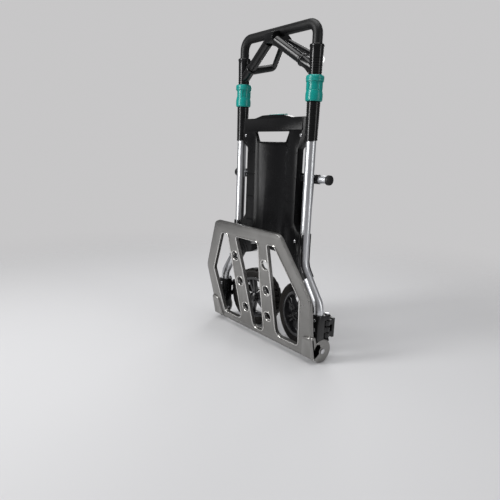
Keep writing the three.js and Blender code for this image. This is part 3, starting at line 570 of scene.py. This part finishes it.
def handle_fitting():
    bottom = LOCK_TOP_Z + 0.3
    profile = [(INNER_TUBE_R + 0.3, bottom), (16.6, bottom), (17.2, bottom + 0.8)]
    for k in range(7):
        z = bottom + 3 + k * 6
        radius = 17.2 + (z - bottom) * 0.018
        profile += [(radius, z), (radius - 0.9, z + 0.7)]
        profile += [(radius - 0.9, z + 1.9), (radius + 0.05, z + 2.6)]
    profile += [
        (18.4, 857.5), (19.4, 859), (19.7, 861), (19.4, 863.2), (18.6, 864.5), (17.4, FITTING_TOP_Z),
        (GRIP_R + 0.4, FITTING_TOP_Z), (GRIP_R + 0.4, 851),
    ]
    barrel = placed(lathe(profile, 72), moved(POLE_X, 0, 0))
    socket_profile = [
        (13.6, 0), (14.2, 8), (14.8, 20), (14.8, SOCKET - 7), (15.4, SOCKET - 5.6), (16.8, SOCKET - 5),
        (16.8, SOCKET - 1), (16.2, SOCKET), (13.7, SOCKET),
    ]
    socket = aimed(lathe(socket_profile, 56), BRACE_FOOT, brace_direction)
    web_x, tip_x = POLE_X - 16, POLE_X - 44
    web_corners = [(web_x, 790.5, 1), (web_x, 812, 1), (tip_x, 828, 2), (tip_x, 817, 3)]
    web = along_y(
        slab(rounded(web_corners, 3), 4, [disc(3.0, 20, POLE_X - 24.5, 805.5)], bevel=0.6), -4
    )
    return [barrel, socket, web]


pair("handle_fitting", handle_fitting(), "handle", BLACK)


def brace_arm():
    start, end = SOCKET + 0.3, brace_length - 17
    profile = [(9, start), (13.1, start), (13.5, start + 0.6)]
    profile += [(13.5, start + 6), (12.9, start + 6.6), (12.9, start + 8.2), (13.5, start + 8.8)]
    profile += [(13.5, end - 4), (9, end - 4)]
    return aimed(lathe(profile, 56), BRACE_FOOT, brace_direction)


pair("brace_arm", [brace_arm()], "handle", BLACK)


def hand_guard():
    """A thick lower bar that turns a soft corner into a thinner outer bar."""
    foot, corner, top = at(POLE_X - 13, 21, 831), at(98.5, 76, 845), at(9, 28.5, 898)
    path = bent([foot, corner, top], 12, 12)
    radii = []
    for i in range(len(path)):
        share = min(1, max(0, (i - 1) / 12))
        radii.append(10.9 - 2.6 * (share * share * (3 - 2 * share)))
    return sweep(path, radii, 36)


pair("hand_guard", [hand_guard()], "handle", BLACK)
softened("apex_bracket", "handle", BLACK, width=1.6, segments=3)

# ---- back panel, lever and screws ----

softened("back_panel", "frame", GREY, width=0.9)


def panel_details():
    """Ledges on the side bands and arcs on the lower ears; the lip round the grip opening is made by
    grip_lip.
    """
    made = []
    for z in (373, 447, 516, 585):
        low, high = z - 2.2, z + 2.2
        ledge = rounded([(75, low, 1.5), (108, low, 1.5), (108, high, 1.5), (75, high, 1.5)], 3)
        made.append(along_y(slab(ledge, 2.4, bevel=0.7), -8))
    for radius in (30, 42, 54, 66):
        arc = []
        for k in range(17):
            angle = math.radians(112 + 58 * k / 16)
            x, z = 156 + radius * math.cos(angle), 246 + radius * math.sin(angle)
            arc.append(at(x, PANEL_FRONT_Y, z))
        arc = [p for p in arc if p.x < 136 and p.z > 262]
        if len(arc) > 3:
            made.append(sweep(arc, 1.3, 10))
    return made


pair("panel_relief", panel_details(), "frame", GREY, stands_for=False)


def grip_lip():
    """A rounded bead round the panel's grip opening."""
    opening = rounded([(-63, 614, 6), (63, 614, 6), (77.5, 648, 4), (-77.5, 648, 4)], 6)
    path = [at(p.x, PANEL_FRONT_Y + 0.4, p.y) for p in opening]
    path += path[:2]
    return sweep(path, 1.5, 10, capped=False)


piece("grip_lip", [grip_lip()], "frame", GREY)
softened("release_lever", "lever", TEAL, width=0.6)


def screw(radius, height, x, z):
    profile = rounded(
        [(0, 0), (radius, 0, 0.4), (radius * 0.92, height * 0.6, 0.8), (radius * 0.5, height, 0.6),
         (radius * 0.34, height, 0.2), (radius * 0.34, height * 0.4), (0, height * 0.4)],
        3, closed=False,
    )
    return placed(lathe(profile, 40), moved(x, PANEL_FRONT_Y - TOUCH_GAP, z) @ turn(90, "X"))


for place, x, z in (("upper", 121.5, 634), ("middle", 121.5, 336), ("lower", 146, 240)):
    pair(f"{place}_panel_screw", [screw(5, 3, x, z)], "frame", STEEL)
pair("catch_stud", [screw(8, 16, 56, 304)], "frame", STEEL)

for side in ("right", "left"):
    softened(f"{side}_tube_clamp", "frame", BLACK, width=0.5)

# ---- wheel brackets, pins and bolts ----

for side in ("right", "left"):
    softened(f"{side}_wheel_bracket", "frame", BLACK, width=0.8)
    softened(f"{side}_hinge_pin", "frame", STEEL, width=0.5)
    softened(f"{side}_pivot_bolt", "frame", STEEL, width=0.6)


def bracket_bolts():
    profile = [(0, 0), (5.2, 0), (5.2, 2.4, 0.8), (2.2, 2.8, 0.4), (2.2, 1.2), (0, 1.2)]
    head = lathe(rounded(profile, 3, False), 32)
    return [placed(head, moved(FOOT_X, -15.6, z) @ turn(90, "X")) for z in (127, 99)]


pair("bracket_bolts", bracket_bolts(), "frame", STEEL, stands_for=False)

# ---- toe plate ----

plate_outline = rounded(
    both_sides([(0, -15), (232, -15, 16), (245, 173, 40), (149, 347, 26), (0, 347)]), 8
)
plate_windows = [
    rounded(
        [(52, 307, 9), (-52, 307, 9), (-38, 190, 60), (-24, 2, 20), (24, 2, 20), (38, 190, 60)], 6
    ),
    rounded(
        [(93, 308, 9), (123, 308, 12), (203, 168, 22), (178, 12, 14), (84, 12, 22), (91, 190, 60)], 6
    ),
]
plate_windows.append([Vector((-p.x, p.y)) for p in reversed(plate_windows[1])])
plate_holes = [(71, 240), (63, 155), (53.5, 65)]
TOE = moved(*PIVOT) @ Matrix.Rotation(LEAN, 4, "X")


def toe_plate():
    holes = [disc(14.5, 40, side * x, z) for side in (-1, 1) for x, z in plate_holes]
    skin = slab(plate_outline, PLATE_SKIN, plate_windows + holes, bevel=1.1)
    rim = slab(plate_outline, PLATE_DEPTH, [grown(plate_outline, -4.5)], bevel=1.6, segments=3)
    made = [along_y(skin, PLATE_FRONT_Y + PLATE_SKIN), along_y(rim, PLATE_BACK_Y)]
    for window in plate_windows:
        frame_edge = slab(grown(window, 4.2), PLATE_DEPTH, [window], bevel=1.5, segments=3)
        made.append(along_y(frame_edge, PLATE_BACK_Y))
    return made


def toe_beads():
    """Rolled edges that stand proud round the plate's windows and holes."""
    made = []
    for window in plate_windows:
        bead = [at(p.x, PLATE_FRONT_Y, p.y) for p in grown(window, 2.2)]
        made.append(sweep(bead + bead[:2], 2.1, 12, capped=False))
    ring = rounded(
        [
            (14.5, 0.6), (14.5, 9, 0.8), (18.5, 9, 0.8),
            (18.5, 0.8, 1.0), (17.6, -0.7, 0.6), (15.4, -0.7, 0.6),
        ],
        3,
    )
    for side in (-1, 1):
        for x, z in plate_holes:
            ring_shape = lathe([(p.x, p.y) for p in ring], 56, closed=True)
            made.append(placed(ring_shape, moved(side * x, PLATE_FRONT_Y, z) @ turn(-90, "X")))
    return made


def toe_cheek():
    """The side lug that carries the pivot, and the thick corner of the casting beside it."""
    lug = rounded([(-35, -15), (-35, 60, 4), (-21, 54, 6), (-19, 32, 10), (-4, 24), (0, 0)], 4)
    eye = slab(disc(35, 72), 9.5, [disc(5.3, 28)], bevel=1.4, segments=3)
    washer = slab(disc(12, 40), 1.6, [disc(5.4, 28)], bevel=0.5)
    root = rounded([(192, -12, 8), (239.9, -12, 4), (239.9, 62, 10), (204, 56, 16)], 6)
    foot = rounded([(206, -15, 3), (236, -15, 3), (236, 8, 5), (206, 2, 5)], 4)
    return [
        along_x(slab(lug, 9.5, bevel=1.2), 230.4),
        along_x(eye, 230.4),
        along_x(washer, 239.0),
        along_y(slab(root, PLATE_DEPTH + 6, bevel=5, segments=5), PLATE_BACK_Y),
        along_y(slab(foot, 4, bevel=1.2), -31.8),
    ]


cheek = toe_cheek()
# The beads take the lighter cast copy: a painted highlight along the rolled edges.
piece("toe_beads", [placed(s, TOE) for s in toe_beads()], "toe", CAST_PAINTED_HIGHLIGHT)
toe_shapes = toe_plate() + cheek + [mirrored(shape) for shape in cheek]
piece(
    "toe_plate_look", [placed(s, TOE) for s in toe_shapes],
    "toe", CAST, "toe_plate", sharp=38,
)


def toe_ribs():
    """Stiffening ribs on the plate's upper side, which faces the tubes when folded."""
    made = []
    for z in (325, 6):
        for x0, x1 in ((-140, 140),) if z > 100 else ((-180, 180),):
            run = rounded([(x0, z - 2, 1), (x1, z - 2, 1), (x1, z + 2, 1), (x0, z + 2, 1)], 2)
            made.append(along_y(slab(run, 6, bevel=0.8), -25.5))
    return made


piece("toe_ribs", [placed(s, TOE) for s in toe_ribs()], "toe", CAST)

# ---- wheels ----


def tread_radius(angle, r, z):
    """Lateral sipes across the shoulders of the tread, offset from one side to the other."""
    if r < WHEEL_R - 4 or abs(z) < 5.5:
        return r
    pitch = 2 * math.pi / 30
    phase = (angle + (pitch / 2 if z > 0 else 0)) % pitch / pitch
    return r - (4.5 if phase < 0.26 else 0.0)


def tyre():
    half = WHEEL_HALF
    side = [
        (BEAD_R + 0.3, half - 3), (BEAD_R + 1.5, half - 1.6),
        (BEAD_R + 5, half - 0.8), (BEAD_R + 9, half - 0.2),
        (BEAD_R + 11, half), (BEAD_R + 12, half - 0.5), (BEAD_R + 13, half), (WHEEL_R - 9, half - 0.2),
        (WHEEL_R - 6, half - 1.6), (WHEEL_R - 3, half - 4),
    ]
    crown = [(WHEEL_R - 1.0, 13), (WHEEL_R - 0.4, 9.5), (WHEEL_R - 0.2, 6.2)]
    groove = [(WHEEL_R - 2.0, 5.6), (WHEEL_R - 2.0, 4.0), (WHEEL_R - 0.1, 3.4), (WHEEL_R, 1.0)]
    upper = side + crown + groove
    profile = upper + [(r, -z) for r, z in reversed(upper)]
    return lathe([(r, z) for r, z in reversed(profile)], 192, closed=True, radius_at=tread_radius)


def rim_band():
    half = WHEEL_HALF - 3
    section = rounded(
        [(57, -4, 2), (60, -half + 2, 1), (60.5, -half - 1.2, 0.8), (BEAD_R - 0.4, -half - 1.2, 0.8),
         (BEAD_R - 0.4, half + 1.2, 0.8), (60.5, half + 1.2, 0.8), (60, half - 2, 1), (57, 4, 2)],
        3,
    )
    return lathe([(p.x, p.y) for p in section], 112, closed=True)


def rim_spokes():
    made = []
    outline = rounded([(14, -4.6, 1), (61.5, -3.0, 1), (61.5, 3.0, 1), (14, 4.6, 1)], 2)
    for i in range(5):
        for lean in (-9, 9):
            spoke = placed(slab(outline, 18, bevel=1.1), moved(0, 0, -12.5))
            made.append(placed(spoke, turn(lean + 72 * i, "Z")))
    web = rounded([(20, -5, 2), (34, -6.5, 2), (34, 6.5, 2), (20, 5, 2)], 2)
    for i in range(5):
        made.append(placed(placed(slab(web, 4, bevel=0.8), moved(0, 0, -4)), turn(72 * i, "Z")))
    return made


def rim_hub():
    half = WHEEL_HALF - 3
    section = rounded(
        [
            (6.5, -half - 1), (15.5, -half - 1, 1), (17, -half + 3, 1),
            (17, half - 3, 1), (15.5, half + 1, 1), (6.5, half + 1),
        ],
        3,
    )
    return lathe([(p.x, p.y) for p in section], 64, closed=True)


def hub_cap():
    seat = -(WHEEL_HALF - 3) - 1.3
    profile = [
        (0, seat), (16, seat), (15.8, seat - 1.2),
        (14.6, seat - 2.4), (12.4, seat - 3.0), (11.6, seat - 2.6),
        (10.8, seat - 3.2), (8, seat - 4.2), (4, seat - 4.5), (0, seat - 4.5),
    ]
    return lathe(list(reversed(profile)), 56)


def axle():
    arm_back = ARM_BACK_Y + 5 + ARM_OFFSET
    shaft = lathe([(0, -17), (6, -17), (6, arm_back + 2), (0, arm_back + 2)], 32)
    nut = placed(slab(disc(11, 6), 5.6, bevel=0.9), moved(0, 0, arm_back + 0.3))
    thread = lathe([(0, arm_back + 5), (4.4, arm_back + 5), (4.4, arm_back + 6), (0, arm_back + 6)], 28)
    return [shaft, nut, thread]


SWING = moved(*WHEEL_HINGE) @ Matrix.Rotation(-LEAN, 4, "Z")
ON_WHEEL = SWING @ moved(-ARM_LENGTH, -ARM_OFFSET, WHEEL_Z) @ turn(-90, "X")
for name, shapes, surface, slot in (
    ("tyre", [tyre()], TYRE, "tyre_rubber"),
    ("rim", [rim_band(), rim_hub(), *rim_spokes()], RIM_PAINTED_SHEEN, "gloss_black"),
    ("hub_cap", [hub_cap()], BLACK, "gloss_black"),
):
    pair(name, [placed(s, ON_WHEEL) for s in shapes], "{side}_wheel", surface, sharp=30)
pair("axle", [placed(s, ON_WHEEL) for s in axle()], "{side}_wheel_carrier", STEEL)
for side in ("right", "left"):
    softened(f"{side}_wheel_arm", f"{side}_wheel_carrier", BLACK, width=0.9)

# ---- rear support ----

for side in ("right", "left"):
    softened(f"{side}_support_arm", "rear_support", BLACK, width=0.7)


def on_bar(profile, y=SUPPORT_Y, z=BAR_Z, sides=48):
    """A turned shape with its axis along X, from a profile of (radius, x)."""
    return placed(lathe(profile, sides), moved(0, y, z) @ turn(90, "Y"))


piece(
    "support_axle_look",
    [on_bar([(0, -134), (4.4, -134), (5, -133), (5, 133), (4.4, 134), (0, 134)], z=SUPPORT_Z)],
    "frame", STEEL, "support_axle",
)
piece(
    "support_bar_look", [on_bar([(BAR_R, -BAR_HALF), (BAR_R, BAR_HALF)])],
    "rear_support", ALUMINIUM, "support_bar",
)
collar = [
    (11.2, 150), (13, 150), (13.5, 151), (13.5, 155), (12.9, 155.6),
    (12.9, 157), (13.5, 157.6), (13.5, 167), (13, 168), (11.2, 168),
]
pair("bar_collar", [on_bar(collar)], "rear_support", BLACK)
cap = [(11.2, 197.5), (13.4, 197.5), (14, 198.3), (14, 203.5), (13.3, 206), (11.4, 207), (0, 207.2)]
pair("bar_cap", [on_bar(cap)], "rear_support", RUBBER)

# ---- floor, light and camera ----


def floor():
    """A wide pale floor that fades into the backdrop's colour far from the object."""
    mesh = bpy.data.meshes.new("floor")
    turns = ((-1, -1), (1, -1), (1, 1), (-1, 1))
    corners = [(u * FLOOR_HALF, v * FLOOR_HALF, -FLOOR_DROP) for u, v in turns]
    mesh.from_pydata(corners, [], [(0, 1, 2, 3)])
    made = bpy.data.objects.new("floor", mesh)
    bpy.context.scene.collection.objects.link(made)
    surface = bpy.data.materials.new("pale_floor")
    surface.use_nodes = True
    nodes, links = surface.node_tree.nodes, surface.node_tree.links
    shader = nodes["Principled BSDF"]
    shader.inputs["Base Color"].default_value = (0.72, 0.72, 0.73, 1)
    shader.inputs["Roughness"].default_value = 0.7
    shader.inputs["Specular IOR Level"].default_value = 0.15
    place = nodes.new("ShaderNodeTexCoord")
    distance = nodes.new("ShaderNodeVectorMath")
    distance.operation = "LENGTH"
    fade = nodes.new("ShaderNodeMapRange")
    fade.interpolation_type = "SMOOTHERSTEP"
    fade.inputs["From Min"].default_value = 0.3
    fade.inputs["From Max"].default_value = 2.3
    clear = nodes.new("ShaderNodeBsdfTransparent")
    mix = nodes.new("ShaderNodeMixShader")
    links.new(place.outputs["Object"], distance.inputs[0])
    links.new(distance.outputs["Value"], fade.inputs["Value"])
    links.new(fade.outputs["Result"], mix.inputs["Fac"])
    links.new(shader.outputs["BSDF"], mix.inputs[1])
    links.new(clear.outputs["BSDF"], mix.inputs[2])
    links.new(mix.outputs["Shader"], nodes["Material Output"].inputs["Surface"])
    mesh.materials.append(surface)


floor()

world = bpy.data.worlds.new("studio")
bpy.context.scene.world = world
world.use_nodes = True
nodes, links = world.node_tree.nodes, world.node_tree.links
backdrop = nodes["Background"]
backdrop.inputs["Color"].default_value = (0.575, 0.57, 0.575, 1)
ambient = nodes.new("ShaderNodeBackground")
ambient.inputs["Color"].default_value = (0.17, 0.17, 0.175, 1)
rays = nodes.new("ShaderNodeLightPath")
seen = nodes.new("ShaderNodeMixShader")
links.new(rays.outputs["Is Camera Ray"], seen.inputs["Fac"])
links.new(ambient.outputs["Background"], seen.inputs[1])
links.new(backdrop.outputs["Background"], seen.inputs[2])
links.new(seen.outputs["Shader"], nodes["World Output"].inputs["Surface"])


def softbox(name, place, target, size, power):
    lamp = bpy.data.lights.new(name, "AREA")
    lamp.shape = "RECTANGLE"
    lamp.size, lamp.size_y = size
    lamp.energy = power
    made = bpy.data.objects.new(name, lamp)
    bpy.context.scene.collection.objects.link(made)
    made.location = place
    made.rotation_euler = (Vector(target) - Vector(place)).to_track_quat("-Z", "Y").to_euler()


softbox("front_softbox", (-0.8, -2.45, 1.25), (0, 0, 0.45), (0.6, 2.4), 60)
softbox("side_softbox", (2.3, 0.7, 0.9), (0, 0, 0.5), (0.5, 1.9), 9)
softbox("top_softbox", (0.2, -0.2, 2.6), (0, 0, 0), (1.8, 1.8), 30)
softbox("back_softbox", (-1.6, 2.0, 1.6), (0, 0, 0.4), (1.2, 1.2), 16)

bpy.context.scene.view_settings.view_transform = "Standard"

azimuth, elevation, roll = math.radians(50.41), math.radians(12.28), math.radians(2.12)
back = Vector(
    (
        math.sin(azimuth) * math.cos(elevation),
        -math.cos(azimuth) * math.cos(elevation),
        math.sin(elevation),
    )
)
right = Vector((math.cos(azimuth), math.sin(azimuth), 0))
up = back.cross(right)
rolled_right = right * math.cos(roll) + up * math.sin(roll)
rolled_up = up * math.cos(roll) - right * math.sin(roll)
view_data = bpy.data.cameras.new("camera")
view_data.sensor_width = 36
view_data.lens = 32.79
view_data.clip_start = 0.01
camera = bpy.data.objects.new("camera", view_data)
bpy.context.scene.collection.objects.link(camera)
camera.matrix_world = (
    moved(1.03679, -0.93338 + SHIFT_Y * MM, 0.58706)
    @ Matrix((rolled_right, rolled_up, back)).transposed().to_4x4()
)
bpy.context.scene.camera = camera
